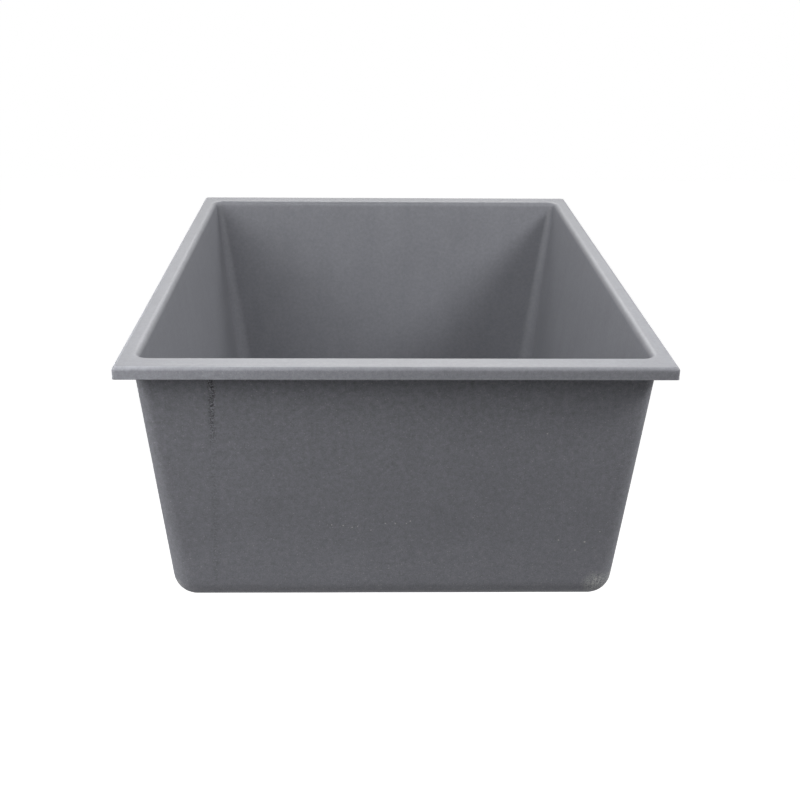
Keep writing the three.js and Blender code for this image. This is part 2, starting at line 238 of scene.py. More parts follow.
SMALL_TURN_STEPS = 64
FINE_TURN_STEPS = 360
NUT_TURN_STEPS = 144
THREAD_STEPS = 8
EDGE_STEPS = 4
SAME_RADIUS = 0.01 * MM
SAME_POINT = 0.0005 * MM
SHARP_ANGLE = math.radians(32)

# Their small roundings and details.
SEAL_ROOM = 8.4 * MM
TAPER_HEIGHT = 10 * MM
CUP_EDGE = 0.8 * MM
CUP_INNER_EDGE = 0.7 * MM
BARREL_THREAD_ENDS = (1 * MM, 4 * MM)
SPIGOT_THREAD_ENDS = (0.5 * MM, 1.5 * MM)
BAR_EDGE = 0.6 * MM
BAR_END_ROOM = 1.5 * MM
BAR_SHIFT = 0.5 * MM
HUB_EDGE = 0.5 * MM
TOOTH_FOOT = 0.9 * MM
TOOTH_FLANK = 1 * MM
LOCKNUT_EDGE = 1 * MM
TUBE_EDGE = 0.6 * MM
TUBE_CUT_PITCH = 1 * MM
BEAD_HEIGHT = 58 * MM
BEAD_WIDTH = 1.4 * MM
BEAD_REACH = 0.25 * MM
COUPLING_EDGE = 0.8 * MM
BASKET_INNER_RADII = (8.5 * MM, 11 * MM, 14 * MM, 17 * MM)
BASKET_OUTER_RADII = (25 * MM, 28 * MM)
BASKET_CORNER_STEPS = 6
BASKET_TOP_ROOM = 2.5 * MM
BASKET_TURN_IN = 1.6 * MM
BASKET_LIP_ROOM = 0.75 * MM
HOLE_ROW_SHARES = (-1, -0.5, 0, 0.5, 1)
HOLE_FIRST_COLUMN = 4
HOLE_CORE = 0.6
SLOT_PULL = 0.3
HUB_LIFT = 0.1 * MM
KNOB_TAPER = 0.6 * MM
KNOB_NECK_ROOM = 1.5 * MM
KNOB_EDGE = 0.7 * MM
KNOB_DISH = ((0.4, 0.15 * MM), (0.15, 0.25 * MM), (0, 0.27 * MM))
FLUTE_FOOT = 0.9 * MM
FLUTE_DEPTH = 0.22 * MM
FLUTE_TOP_SHARE = 0.8
STEM_EDGE = 0.5 * MM
STEM_CUT = 0.25 * MM
STEM_THREAD_ENDS = (1.6 * MM, 7 * MM)
SEAL_EDGE = 0.8 * MM
SEAL_LOW_INSET = 2.2 * MM
SEAL_TOP_INSET = 0.5 * MM
SEAL_LIP_INSET = 2.5 * MM
SEAL_DISH_INSET = 4 * MM
SEAL_DISH_DEPTH = 0.7 * MM
SEAL_DISH_RADIUS = 12 * MM
SEAL_HUB_RADIUS = 10.5 * MM
NUT_CHAMFER = 0.5 * MM
NUT_CHAMFER_SHARE = 0.6
NUT_CUT_PITCH = 1 * MM
PAD_EDGE = 0.4 * MM
GASKET_EDGE = 1 * MM
FIBRE_EDGE = 0.2 * MM
TAIL_WASHER_EDGE = 0.5 * MM
GRIP_EDGE = 0.7 * MM
WASHER_EDGE = 0.3 * MM

# How finely the bowl is cut.
CORNER_STEPS = 18
ROUND_STEPS = 8
COLUMN_PITCH = 8 * MM
SEAM_SPAN = (0.045, 0.152)
SEAM_COLUMNS = 48
ROW_PITCH = 4.5 * MM
TOP_ROW_PITCH = 1 * MM
TOP_ROWS_DEPTH = 92 * MM
FACE_ROW_PITCH = 2 * MM
RIM_FOOT_STEPS = 4
NECK_STEPS = 5
FLOOR_STEPS = 14
BASE_RING_SHARES = (0.08, 0.3, 0.6, 0.9)
LEDGE_RING_SHARES = (0.2, 0.5, 0.8)
LEAST_CORNER_SHARE = 0.12

# The drain's metals, as colour and roughness, with their fine turned lines.
BRUSHED_STAINLESS = ((0.52, 0.52, 0.525), 0.3)
POLISHED_STAINLESS = ((0.52, 0.52, 0.53), 0.18)
DULL_ZINC = ((0.42, 0.43, 0.44), 0.42)
MACHINED_BRASS = ((0.58, 0.42, 0.19), 0.3)
LINES = (3500, 2, 0.5)
LINE_ROUGHNESS = 0.06
LINE_SHADE = 0.94
LINE_HEIGHT = 0.02 * MM
LINE_STRENGTH = 0.5
BLOTCHES = (60, 2, 0.5)
BLOTCH_ROUGHNESS = 0.03

# Rubber, pressed fibre and white plastic.
RUBBER_DARK = (0.018, 0.018, 0.019, 1)
RUBBER_DUSTY = (0.034, 0.034, 0.036, 1)
RUBBER_GRAIN = (1400, 3, 0.5)
RUBBER_ROUGHNESS = (0.6, 0.78)
RUBBER_HEIGHT = 0.06 * MM
RUBBER_STRENGTH = 0.5
BLOOM = (90, 4, 0.5)
BLOOM_RANGE = (0.35, 0.75)
FIBRE_DARK = (0.36, 0.24, 0.115, 1)
FIBRE_LIGHT = (0.58, 0.43, 0.24, 1)
FIBRE_FLECK = (0.16, 0.09, 0.04, 1)
FIBRES = (700, 5, 0.75)
FIBRE_STRETCH = (1, 6, 1)
FIBRE_FLECKS = (1500, 2, 0.5)
FIBRE_FLECK_RANGE = (0.66, 0.74)
FIBRE_ROUGHNESS = 0.88
FIBRE_HEIGHT = 0.12 * MM
FIBRE_STRENGTH = 0.6
PLASTIC_DARK = (0.74, 0.74, 0.73, 1)
PLASTIC_LIGHT = (0.82, 0.82, 0.81, 1)
PLASTIC_CLOUDS = (50, 3, 0.5)
PLASTIC_GRAIN = (1800, 2, 0.5)
PLASTIC_ROUGHNESS = (0.36, 0.46)
PLASTIC_HEIGHT = 0.03 * MM
PLASTIC_STRENGTH = 0.4

# The camera's place and aim, and the photograph's frame in pixels.
FRAME_PIXELS = 800
CAMERA_PLACE = Vector((-26.48, -1221.9, 347.19)) * MM
CAMERA_YAW = math.radians(1.156)
CAMERA_PITCH = math.radians(22.607)
CAMERA_ROLL = math.radians(0.486)
FOCAL_PIXELS = 1181.5
CENTRE_X_PIXELS = 387.0
CENTRE_Y_PIXELS = 403.0
SENSOR = 36

# The pale floor, far enough below that it can be looked at from under the sink.
FLOOR_Z = -1.6
FLOOR_HALF = 8
FLOOR_COLOR = (0.6, 0.6, 0.6, 1)
FLOOR_GLOW_NEAR = 0.88
FLOOR_GLOW_FAR = 1.0
FLOOR_NEAR = 1.2
FLOOR_FAR = 2.2

# Square lamps, all aimed at one place: name, place, side and power.
WORLD_LEVEL = 0.0
LAMP_AIM = Vector((0, 0, -0.1))
LAMPS = (
    ("wide_left", (-2.2, -1.0, 1.0), 2.5, 16.5),
    ("near_left", (-0.8, -0.9, 0.5), 0.4, 4.5),
    ("near_right", (0.95, -0.6, 0.8), 0.4, 11.0),
    ("near_front", (-0.5, -1.0, 1.0), 0.4, 2.0),
    ("over_left", (-0.8, -0.2, 1.1), 0.4, 3.1),
    ("back", (0, 1.7, 1.4), 1.2, 22.1),
    ("back_left", (-1.4, 1.3, 1.2), 0.8, 1.8),
    ("back_right", (1.4, 1.3, 1.2), 0.8, 8.0),
    ("low_left", (-0.95, -0.85, 0.15), 0.4, 0.9),
    ("foot_left", (-1.7, -0.6, -0.7), 1.2, 3.5),
    ("foot_right", (1.6, -0.3, -0.25), 0.5, 3.0),
)


# Mesh helpers

def make_object(name, verts, faces, smooth=True):
    mesh = bpy.data.meshes.new(name)
    mesh.from_pydata([tuple(v) for v in verts], [], faces)
    mesh.update()
    if smooth:
        mesh.shade_smooth()
    made = bpy.data.objects.new(name, mesh)
    bpy.context.scene.collection.objects.link(made)
    return made


def arc(centre_r, centre_z, radius, start, end, steps=ROUND_STEPS):
    """Points (r, z) of an arc, by its angles in radians."""
    points = []
    for step in range(steps + 1):
        angle = start + (end - start) * step / steps
        points.append((centre_r + radius * math.cos(angle), centre_z + radius * math.sin(angle)))
    return points


def skin_rows(rows, closed_rows):
    """Quads over rows of points that are each a closed loop."""
    count = len(rows[0])
    faces = []
    last = len(rows) if closed_rows else len(rows) - 1
    for r in range(last):
        low = r * count
        high = ((r + 1) % len(rows)) * count
        for i in range(count):
            j = (i + 1) % count
            faces.append((low + i, high + i, high + j, low + j))
    return [point for row in rows for point in row], faces


# The bowl

def side_shares(length, extra=()):
    """Places along a straight side, as shares from 0 to 1 without the ends."""
    count = max(2, round(length / COLUMN_PITCH))
    shares = {round(i / count, 5) for i in range(1, count)}
    shares.update(round(x, 5) for x in extra)
    return sorted(shares)


def seam_shares():
    """Close columns on the front wall where the mould's seam runs."""
    low, high = SEAM_SPAN
    return [low + (high - low) * i / SEAM_COLUMNS for i in range(SEAM_COLUMNS + 1)]


BACK_SHARES = side_shares(2 * HALF_WIDTH)
SIDE_SHARES = side_shares(2 * HALF_LENGTH)
FRONT_SHARES = side_shares(2 * HALF_WIDTH, seam_shares())
SHARES = [BACK_SHARES, SIDE_SHARES, FRONT_SHARES, SIDE_SHARES]


def rectangle_ring(half_x, half_y, radius, z):
    """A loop round a rounded rectangle, corner and side by turns, anticlockwise from the right."""
    corners = []
    for corner in range(4):
        sign_x = 1 if corner in (0, 3) else -1
        sign_y = 1 if corner < 2 else -1
        points = []
        for step in range(CORNER_STEPS + 1):
            angle = (corner + step / CORNER_STEPS) * math.pi / 2
            points.append(Vector((
                sign_x * (half_x - radius) + radius * math.cos(angle),
                sign_y * (half_y - radius) + radius * math.sin(angle),
                z,
            )))
        corners.append(points)
    ring = []
    for corner in range(4):
        start = corners[corner][-1]
        end = corners[(corner + 1) % 4][0]
        ring.extend(corners[corner])
        ring.extend(start.lerp(end, share) for share in SHARES[corner])
    return ring


def circle_like(ring, radius, z):
    """A circle whose points lie in the same directions as a ring's."""
    points = []
    for point in ring:
        away = Vector((point.x, point.y, 0)).normalized() * radius
        points.append(Vector((away.x, away.y, z)))
    return points


def basin_half(depth):
    inset = LIP_ROUND * math.cos(BASIN_DRAFT)
    lip_depth = LIP_ROUND * (1 - math.sin(BASIN_DRAFT))
    taper = (depth - lip_depth) * math.tan(BASIN_DRAFT)
    return HALF_WIDTH - LEDGE_SIDE - inset - taper, HALF_LENGTH - LEDGE_END - inset - taper


def shell_half(depth):
    x, y = basin_half(RIM_THICKNESS)
    taper = (depth - RIM_THICKNESS) * math.tan(SHELL_DRAFT)
    return x + WALL_THICKNESS - taper, y + WALL_THICKNESS - taper


def between(low, high, pitch):
    """Depths between two, without the ends."""
    count = max(1, round((high - low) / pitch))
    return [low + (high - low) * i / count for i in range(1, count)]


def foot_rings(half_at, draft, depth, foot_round, corner_at):
    """Rings round the foot of a drafted wall, down to a flat at the given depth."""
    touch = depth - foot_round + foot_round * math.sin(draft)
    half_x, half_y = half_at(touch)
    corner = corner_at(touch)
    rings = []
    for out, z in arc(0, -depth + foot_round, foot_round, -draft, -math.pi / 2):
        inset = foot_round * math.cos(draft) - out
        radius = max(corner - inset, corner * LEAST_CORNER_SHARE)
        rings.append(rectangle_ring(half_x - inset, half_y - inset, radius, z))
    return touch, rings


def bowl_rows():
    """Every ring of the bowl's skin, with how smooth its finish is: 1 in the basin, 0 outside."""
    rows = []

    def add(ring, finish):
        rows.append((ring, finish))

    # The rim's top outer round, its face and the edge at its foot
    flat_x = HALF_WIDTH - RIM_TOP_ROUND
    flat_y = HALF_LENGTH - RIM_TOP_ROUND
    for i, (out, z) in enumerate(arc(0, -RIM_TOP_ROUND, RIM_TOP_ROUND, math.pi / 2, 0)):
        corner = RIM_CORNER + out * RIM_CORNER_GROWTH
        finish = 1 - (1 - FACE_FINISH) * i / ROUND_STEPS
        add(rectangle_ring(flat_x + out, flat_y + out, corner, z), finish)
    face_corner = RIM_CORNER + FACE_CORNER_EXTRA
    for depth in between(RIM_TOP_ROUND, RIM_THICKNESS - RIM_FOOT_ROUND, FACE_ROW_PITCH):
        add(rectangle_ring(HALF_WIDTH, HALF_LENGTH, face_corner, -depth), FACE_FINISH)
    edge_z = -RIM_THICKNESS + RIM_FOOT_ROUND
    rim_foot = arc(0, edge_z, RIM_FOOT_ROUND, 0, -math.pi / 2, RIM_FOOT_STEPS)
    for i, (out, z) in enumerate(rim_foot):
        inset = RIM_FOOT_ROUND - out
        finish = FACE_FINISH * (1 - i / RIM_FOOT_STEPS)
        add(rectangle_ring(HALF_WIDTH - inset, HALF_LENGTH - inset, RIM_CORNER, z), finish)

    # The neck under the rim
    neck_depth = RIM_THICKNESS + NECK_ROUND * (1 - math.sin(SHELL_DRAFT))
    neck_x, neck_y = shell_half(neck_depth)
    centre = NECK_ROUND * math.cos(SHELL_DRAFT)
    neck_z = -RIM_THICKNESS - NECK_ROUND
    for out, z in arc(centre, neck_z, NECK_ROUND, math.pi / 2, math.pi - SHELL_DRAFT, NECK_STEPS):
        add(rectangle_ring(neck_x + out, neck_y + out, SHELL_CORNER_TOP + out, z), 0)

    # The outside wall, its foot and the flat base
    def shell_corner(depth):
        share = (depth - neck_depth) / (-BASE_Z - BASE_ROUND - neck_depth)
        return SHELL_CORNER_TOP + (SHELL_CORNER_BOTTOM - SHELL_CORNER_TOP) * share

    touch, foot = foot_rings(shell_half, SHELL_DRAFT, -BASE_Z, BASE_ROUND, shell_corner)
    top_end = neck_depth + TOP_ROWS_DEPTH
    depths = between(neck_depth, top_end, TOP_ROW_PITCH) + [top_end] + between(top_end, touch, ROW_PITCH)
    for depth in depths:
        half_x, half_y = shell_half(depth)
        add(rectangle_ring(half_x, half_y, shell_corner(depth), -depth), 0)
    for ring in foot:
        add(ring, 0)
    base_edge = foot[-1]
    for share in BASE_RING_SHARES:
        inner = circle_like(base_edge, HOLE_RADIUS, BASE_Z)
        add([a.lerp(b, share) for a, b in zip(base_edge, inner)], 0)
    add(circle_like(base_edge, HOLE_RADIUS, BASE_Z), 0)

    # The drain hole and the recess round it
    low_z = BASE_Z + FLOOR_THICKNESS
    seat_z = low_z - RECESS_DEPTH
    add(circle_like(base_edge, HOLE_RADIUS, seat_z), 1)
    add(circle_like(base_edge, RECESS_RADIUS, seat_z), 1)
    edge = RECESS_RADIUS + RECESS_ROUND
    for radius, z in arc(edge, low_z - RECESS_ROUND, RECESS_ROUND, math.pi, math.pi / 2, NECK_STEPS):
        add(circle_like(base_edge, radius, z), 1)

    # The floor, its rounded edge and the basin's walls
    floor_depth = -(low_z + FLOOR_FALL)
    lip_depth = LIP_ROUND * (1 - math.sin(BASIN_DRAFT))

    def corner_at(depth):
        share = (depth - lip_depth) / (floor_depth - lip_depth)
        return BASIN_CORNER_TOP + (BASIN_CORNER_BOTTOM - BASIN_CORNER_TOP) * share

    touch, foot = foot_rings(basin_half, BASIN_DRAFT, floor_depth, FLOOR_ROUND, corner_at)
    floor_edge = foot[-1]
    inner = circle_like(floor_edge, edge, low_z)
    for step in range(1, FLOOR_STEPS):
        share = step / FLOOR_STEPS
        add([a.lerp(b, share) for a, b in zip(inner, floor_edge)], 1)
    for ring in reversed(foot):
        add(ring, 1)
    for depth in reversed(between(lip_depth, touch, ROW_PITCH)):
        half_x, half_y = basin_half(depth)
        add(rectangle_ring(half_x, half_y, corner_at(depth), -depth), 1)

    # The lip and the flat ledge
    ledge_x = HALF_WIDTH - LEDGE_SIDE
    ledge_y = HALF_LENGTH - LEDGE_END
    top_x = basin_half(lip_depth)[0]
    for out, z in arc(0, -LIP_ROUND, LIP_ROUND, BASIN_DRAFT, math.pi / 2):
        grown = ledge_x - out - top_x
        add(rectangle_ring(ledge_x - out, ledge_y - out, BASIN_CORNER_TOP + grown, z), 1)
    ledge = rows[-1][0]
    outer = rows[0][0]
    for share in LEDGE_RING_SHARES:
        add([a.lerp(b, share) for a, b in zip(ledge, outer)], 1)
    return rows


def seam_x(z):
    """Where the mould's seam runs on the front wall at a height."""
    share = (z - SEAM_TOP.z) / (SEAM_FOOT.z - SEAM_TOP.z)
    return SEAM_TOP.x + (SEAM_FOOT.x - SEAM_TOP.x) * share


def seam_share(point):
    """How much of the mould's seam a point has, and how much of its pits."""
    on_front = point.y < -HALF_LENGTH + FRONT_WALL_REACH
    if not on_front or not BASE_Z + BASE_ROUND <= point.z < SEAM_TOP.z:
        return 0, 0
    sway = noise.noise(Vector((0, 0, point.z * SEAM_SWAY_SCALE))) * SEAM_SWAY
    away = (point.x - seam_x(point.z) - sway) / SEAM_WIDTH
    band = math.exp(-away * away)
    down = (-point.z - RIM_THICKNESS) / SEAM_PIT_DEPTH
    pits = band * max(SEAM_FAINT, 1 - down) ** SEAM_FADE
    return band, pits


def wall_offset(point, finish):
    """How far the moulding's surface stands proud of its nominal form, along its normal."""
    wave = noise.noise(point * WAVE_SCALE) * WAVE_HEIGHT
    wave += noise.noise(point * RIPPLE_SCALE + RIPPLE_START) * RIPPLE_HEIGHT
    if finish > 0.5:
        return wave * WAVE_INSIDE
    band, pits = seam_share(point)
    rough = noise.noise(point * PIT_SCALE) + PIT_FINE_SHARE * noise.noise(point * PIT_FINE_SCALE)
    return wave + pits * (rough * PIT_ROUGHNESS - PIT_SINK) * MM - band * SEAM_SINK * MM


def make_bowl():
    rows = bowl_rows()
    verts, faces = skin_rows([ring for ring, finish in rows], True)
    finishes = [finish for ring, finish in rows for point in ring]
    # Rows of the rim's outer round, face and foot edge, which get the painted light and the painted
    # highlight.
    face_light_rows = [1 if 0 < finish < 1 else 0 for ring, finish in rows for point in ring]
    pits = [seam_share(point)[1] if finish == 0 else 0 for ring, finish in rows for point in ring]
    bowl = make_object("bowl_moulding", verts, faces)
    mesh = bowl.data
    normals = [v.normal.copy() for v in mesh.vertices]
    for vertex, normal, finish in zip(mesh.vertices, normals, finishes):
        vertex.co += normal * wall_offset(vertex.co, finish)
    for name, values in (("finish", finishes), ("pits", pits), ("face_light_rows", face_light_rows)):
        attribute = mesh.attributes.new(name, "FLOAT", "POINT")
        attribute.data.foreach_set("value", values)
    mesh.update()
    return bowl


# The drain

def ends(node):
    """A round node's lowest and highest z, and its radius."""
    low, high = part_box(node)
    return low.z, high.z, high.x


def soften(profile, radius, steps=3):
    """A closed profile with every corner rounded off."""
    points = []
    for i, corner in enumerate(profile):
        here = Vector(corner)
        back = Vector(profile[i - 1]) - here
        ahead = Vector(profile[(i + 1) % len(profile)]) - here
        reach = min(radius, back.length * 0.45, ahead.length * 0.45)
        start = here + back.normalized() * reach
        end = here + ahead.normalized() * reach
        for step in range(steps + 1):
            share = step / steps
            bend = start * (1 - share) ** 2 + here * 2 * share * (1 - share) + end * share ** 2
            points.append((bend.x, bend.y))
    return points


def cut_fine(profile, radius, pitch):
    """A profile whose upright runs at one radius get a point every so often."""
    points = []
    for i, (r, z) in enumerate(profile):
        points.append((r, z))
        next_r, next_z = profile[(i + 1) % len(profile)]
        if abs(r - radius) < SAME_RADIUS and abs(next_r - radius) < SAME_RADIUS:
            count = max(1, round(abs(next_z - z) / pitch))
            points.extend((r, z + (next_z - z) * step / count) for step in range(1, count))
    return points


def thread(radius, pitch, depth, low, high):
    """A shape for turned_mesh(): a rolled thread cut into one radius between two heights."""
    def shape(angle, r, z):
        if abs(r - radius) > SAME_RADIUS or not low < z < high:
            return r
        fade = min(1, (z - low) / pitch, (high - z) / pitch)
        turn = z / pitch - angle / (2 * math.pi)
        return r - depth * fade * (0.5 - 0.5 * math.cos(2 * math.pi * turn))
    return shape


def turned_mesh(profile, steps=TURN_STEPS, shape=None):
    """A surface turned about +Z from a closed profile that is listed anticlockwise."""
    rows = []
    for r, z in reversed(profile):
        row = []
        for step in range(steps):
            angle = 2 * math.pi * step / steps
            radius = shape(angle, r, z) if shape else r
            row.append(Vector((radius * math.cos(angle), radius * math.sin(angle), z)))
        rows.append(row)
    return skin_rows(rows, True)


def joined(meshes):
    """Several lists of points and faces as one."""
    verts = []
    faces = []
    for more_verts, more_faces in meshes:
        start = len(verts)
        verts.extend(more_verts)
        faces.extend(tuple(start + i for i in face) for face in more_faces)
    return verts, faces


def soft_block(size, middle, bevel, angle=0):
    """A block with rounded edges, turned about +Z."""
    mesh = bmesh.new()
    bmesh.ops.create_cube(mesh, size=1)
    for vertex in mesh.verts:
        vertex.co = Vector(a * b for a, b in zip(vertex.co, size))
    bmesh.ops.bevel(mesh, geom=mesh.edges[:], offset=bevel, segments=3, profile=0.5, affect="EDGES")
    turn = Matrix.Rotation(angle, 3, "Z")
    mesh.verts.ensure_lookup_table()
    verts = [turn @ (vertex.co + Vector(middle)) for vertex in mesh.verts]
    faces = [tuple(vertex.index for vertex in face.verts) for face in mesh.faces]
    mesh.free()
    return verts, faces


def finish_piece(body, name, mesh, node, slot, material):
    """Makes an object of a mesh and puts it in a CAD node's place."""
    piece = make_object(name, *mesh)
    clean = bmesh.new()
    clean.from_mesh(piece.data)
    bmesh.ops.remove_doubles(clean, verts=clean.verts, dist=SAME_POINT)
    clean.to_mesh(piece.data)
    clean.free()
    piece.data.shade_smooth()
    piece.data.set_sharp_from_angle(angle=SHARP_ANGLE)
    piece.data.materials.append(material)
    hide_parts(node)
    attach(piece, body)
    return piece


def plain_ring(node, bore, edge):
    """A flat ring with rounded edges, as wide and thick as its node."""
    low, high, radius = ends(node)
    profile = [(bore, low), (radius, low), (radius, high), (bore, high)]
    return turned_mesh(soften(profile, edge, EDGE_STEPS))


def cup_mesh():
    low, high, flange = ends("strainer_cup")
    under_flange = high - FLANGE_THICKNESS
    ledge = high - LEDGE_DEPTH
    bore = THROAT_RADIUS - LEDGE_WIDTH
    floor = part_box("stopper_seal")[0].z - SEAL_ROOM
    base = floor - CUP_WALL
    barrel_end = floor + TAPER_HEIGHT
    throat = arc(THROAT_RADIUS + THROAT_ROUND, high - THROAT_ROUND, THROAT_ROUND, math.pi / 2, math.pi)
    corners = soften([
        (OUTLET_RADIUS, low),
        (SPIGOT_RADIUS, low),
        (SPIGOT_RADIUS, base),
        (bore - TAPER_IN + CUP_WALL, base),
        (BARREL_RADIUS, barrel_end),
        (BARREL_RADIUS, under_flange),
        (flange, under_flange),
        (flange, high - FLANGE_EDGE),
        (flange - FLANGE_EDGE, high),
    ], CUP_EDGE)[3:]
    inside = soften([
        (THROAT_RADIUS + THROAT_ROUND * 0.1, high),
        (THROAT_RADIUS, ledge),
        (bore, ledge),
        (bore, barrel_end),
        (bore - TAPER_IN, floor),
        (OUTLET_RADIUS, floor),
        (OUTLET_RADIUS, low),
        (SPIGOT_RADIUS, low),
    ], CUP_INNER_EDGE)[4:-4]
    profile = corners + throat + inside
    profile = cut_fine(profile, BARREL_RADIUS, BARREL_PITCH / THREAD_STEPS)
    profile = cut_fine(profile, SPIGOT_RADIUS, SPIGOT_PITCH / THREAD_STEPS)
    foot, head = BARREL_THREAD_ENDS
    on_barrel = thread(BARREL_RADIUS, BARREL_PITCH, BARREL_CUT, barrel_end + foot, under_flange - head)
    foot, head = SPIGOT_THREAD_ENDS
    on_spigot = thread(SPIGOT_RADIUS, SPIGOT_PITCH, SPIGOT_CUT, low + foot, base - head)
    body = turned_mesh(profile, TURN_STEPS, lambda a, r, z: on_barrel(a, on_spigot(a, r, z), z))
    bar_low = low + BAR_HEIGHTS[0]
    bar_high = low + BAR_HEIGHTS[1]
    start, end = BAR_LENGTHS
    inner, outer = HUB_RADII
    hub = soften([(inner, bar_low), (outer, bar_low), (outer, bar_high), (inner, bar_high)], HUB_EDGE)
    parts = [body, turned_mesh(hub, SMALL_TURN_STEPS)]
    for i in range(BAR_COUNT):
        size = (end - start - BAR_END_ROOM, BAR_WIDTH, bar_high - bar_low)
        middle = ((start + end) / 2 + BAR_SHIFT, 0, (bar_low + bar_high) / 2)
        parts.append(soft_block(size, middle, BAR_EDGE, i * 2 * math.pi / BAR_COUNT))
    return joined(parts)


def teeth(count, width, reach, base):
    """A shape for turned_mesh(): blocks that stand out evenly round one radius and beyond."""
    def shape(angle, r, z):
        if r < base - TOOTH_FOOT:
            return r
        pitch = 2 * math.pi / count
        away = abs((angle + pitch / 2) % pitch - pitch / 2) * base
        rise = min(1, max(0, (width / 2 + TOOTH_FLANK / 2 - away) / TOOTH_FLANK))
        return r + reach * rise * rise * (3 - 2 * rise)
    return shape


def locknut_mesh():
    low, high, reach = ends("locknut")
    outer = reach - LUG_REACH
    bore = outer - NUT_WIDTH
    corners = [(bore, low), (outer, low), (outer, high), (bore, high)]
    profile = soften(corners, LOCKNUT_EDGE, EDGE_STEPS)
    return turned_mesh(profile, FINE_TURN_STEPS, teeth(LUG_COUNT, LUG_WIDTH, LUG_REACH, outer))


def tailpiece_mesh():
    low, high, flange = ends("tailpiece")
    under = high - TUBE_FLANGE
    bore = TUBE_RADIUS - TUBE_WALL
    profile = soften([
        (bore, low), (TUBE_RADIUS, low), (TUBE_RADIUS, under),
        (flange, under), (flange, high), (bore, high),
    ], TUBE_EDGE)
    profile = cut_fine(profile, TUBE_RADIUS, TUBE_CUT_PITCH)
    bead = low + BEAD_HEIGHT

    def shape(angle, r, z):
        if abs(r - TUBE_RADIUS) > SAME_RADIUS:
            return r
        away = (z - bead) / BEAD_WIDTH
        return r + BEAD_REACH * math.exp(-away * away)

    return turned_mesh(profile, TURN_STEPS, shape)


def coupling_mesh():
    low, high, reach = ends("coupling_nut")
    outer = reach - RIB_REACH
    bore = outer - COUPLING_WALL
    under = low + COUPLING_LIP
    hole = TUBE_RADIUS + THREAD_GAP
    profile = soften([
        (hole, low), (outer, low), (outer, high), (bore, high), (bore, under), (hole, under),
    ], COUPLING_EDGE, EDGE_STEPS)
    return turned_mesh(profile, FINE_TURN_STEPS, teeth(RIB_COUNT, RIB_WIDTH, RIB_REACH, outer))


def basket_mesh():
    """The basket's inner sheet with its slots and holes open, and its solid hub."""
    low, high, rim = ends("basket")
    ledge = high - BASKET_RIM
    radius = BASKET_RADIUS - BASKET_WALL / 2
    floor = low + BASKET_WALL / 2
    corner = BASKET_CORNER - BASKET_WALL / 2
    slot_middle = (low + BASKET_CORNER + ledge) / 2
    half = SLOT_HEIGHT / 2
    side = math.pi * radius / BASKET_COLUMNS * 2
    inner_edge = STEM_RADIUS + SLIDE_GAP + HUB_WALL
    rows = [(r, floor) for r in (inner_edge, *BASKET_INNER_RADII)]
    hole_rows = [FLOOR_HOLE_CIRCLE + FLOOR_HOLE_RADIUS * share for share in HOLE_ROW_SHARES]
    hole_first = len(rows)
    rows += [(r, floor) for r in hole_rows]
    rows += [(r, floor) for r in BASKET_OUTER_RADII]
    rows += arc(radius - corner, floor + corner, corner, -math.pi / 2, 0, BASKET_CORNER_STEPS)
    slot_first = len(rows)
    rows += [(radius, slot_middle + offset) for offset in (
        -half, -half + side, -half / 3, half / 3, half - side, half,
    )]
    rows += [(radius, ledge - BASKET_TOP_ROOM)]
    centre_z = high - BASKET_WALL / 2 - BASKET_TURN_IN
    for step in range(4):
        turn = step * math.pi / 6
        out = BASKET_TURN_IN - BASKET_TURN_IN * math.cos(turn)
        rows.append((radius + out, centre_z + BASKET_TURN_IN * math.sin(turn)))
    rows += [(rim - BASKET_LIP_ROOM, high - BASKET_WALL / 2)]
    verts = []
    for r, z in rows:
        for column in range(BASKET_COLUMNS):
            angle = 2 * math.pi * column / BASKET_COLUMNS
            verts.append(Vector((r * math.cos(angle), r * math.sin(angle), z)))
    slot_pitch = BASKET_COLUMNS // SLOT_COUNT
    hole_pitch = BASKET_COLUMNS // HOLE_COUNT
    faces = []
    for row in range(len(rows) - 1):
        for column in range(BASKET_COLUMNS):
            in_slot = slot_first <= row < slot_first + 5 and column % slot_pitch in (0, 1)
            past_hole_start = column % hole_pitch - HOLE_FIRST_COLUMN
            in_hole = hole_first <= row < hole_first + 4 and past_hole_start in range(4)
            if in_slot or in_hole:
                continue
            after = (column + 1) % BASKET_COLUMNS
            low_row = row * BASKET_COLUMNS
            high_row = low_row + BASKET_COLUMNS
            faces.append((low_row + column, low_row + after, high_row + after, high_row + column))

    def index(row, column):
        return row * BASKET_COLUMNS + column % BASKET_COLUMNS

    for slot in range(SLOT_COUNT):
        first = slot * slot_pitch
        for end_row, sign in ((slot_first, 1), (slot_first + 5, -1)):
            for column in (first, first + 2):
                here = index(end_row, column)
                middle = verts[index(end_row, first + 1)]
                pulled = verts[here].lerp(middle, SLOT_PULL)
                verts[here] = pulled + Vector((0, 0, sign * side * SLOT_PULL))
    for hole in range(HOLE_COUNT):
        first = hole * hole_pitch + HOLE_FIRST_COLUMN
        centre = verts[index(hole_first + 2, first + 2)].copy()
        for row in range(hole_first, hole_first + 5):
            for column in range(first, first + 5):
                here = index(row, column)
                away = verts[here] - centre
                if away.length > FLOOR_HOLE_RADIUS * HOLE_CORE:
                    verts[here] = centre + away.normalized() * FLOOR_HOLE_RADIUS
    return verts, faces


def hub_mesh():
    low = ends("basket")[0]
    grip_low, hub_top, grip = ends("grip_ring")
    hole = STEM_RADIUS + SLIDE_GAP
    bore = grip + THREAD_GAP
    outer = bore + HUB_WALL
    foot = low + HUB_LIFT
    return turned_mesh(soften([
        (hole, foot), (outer, foot), (outer, hub_top),
        (bore, hub_top), (bore, grip_low), (hole, grip_low),
    ], HUB_EDGE), SMALL_TURN_STEPS)


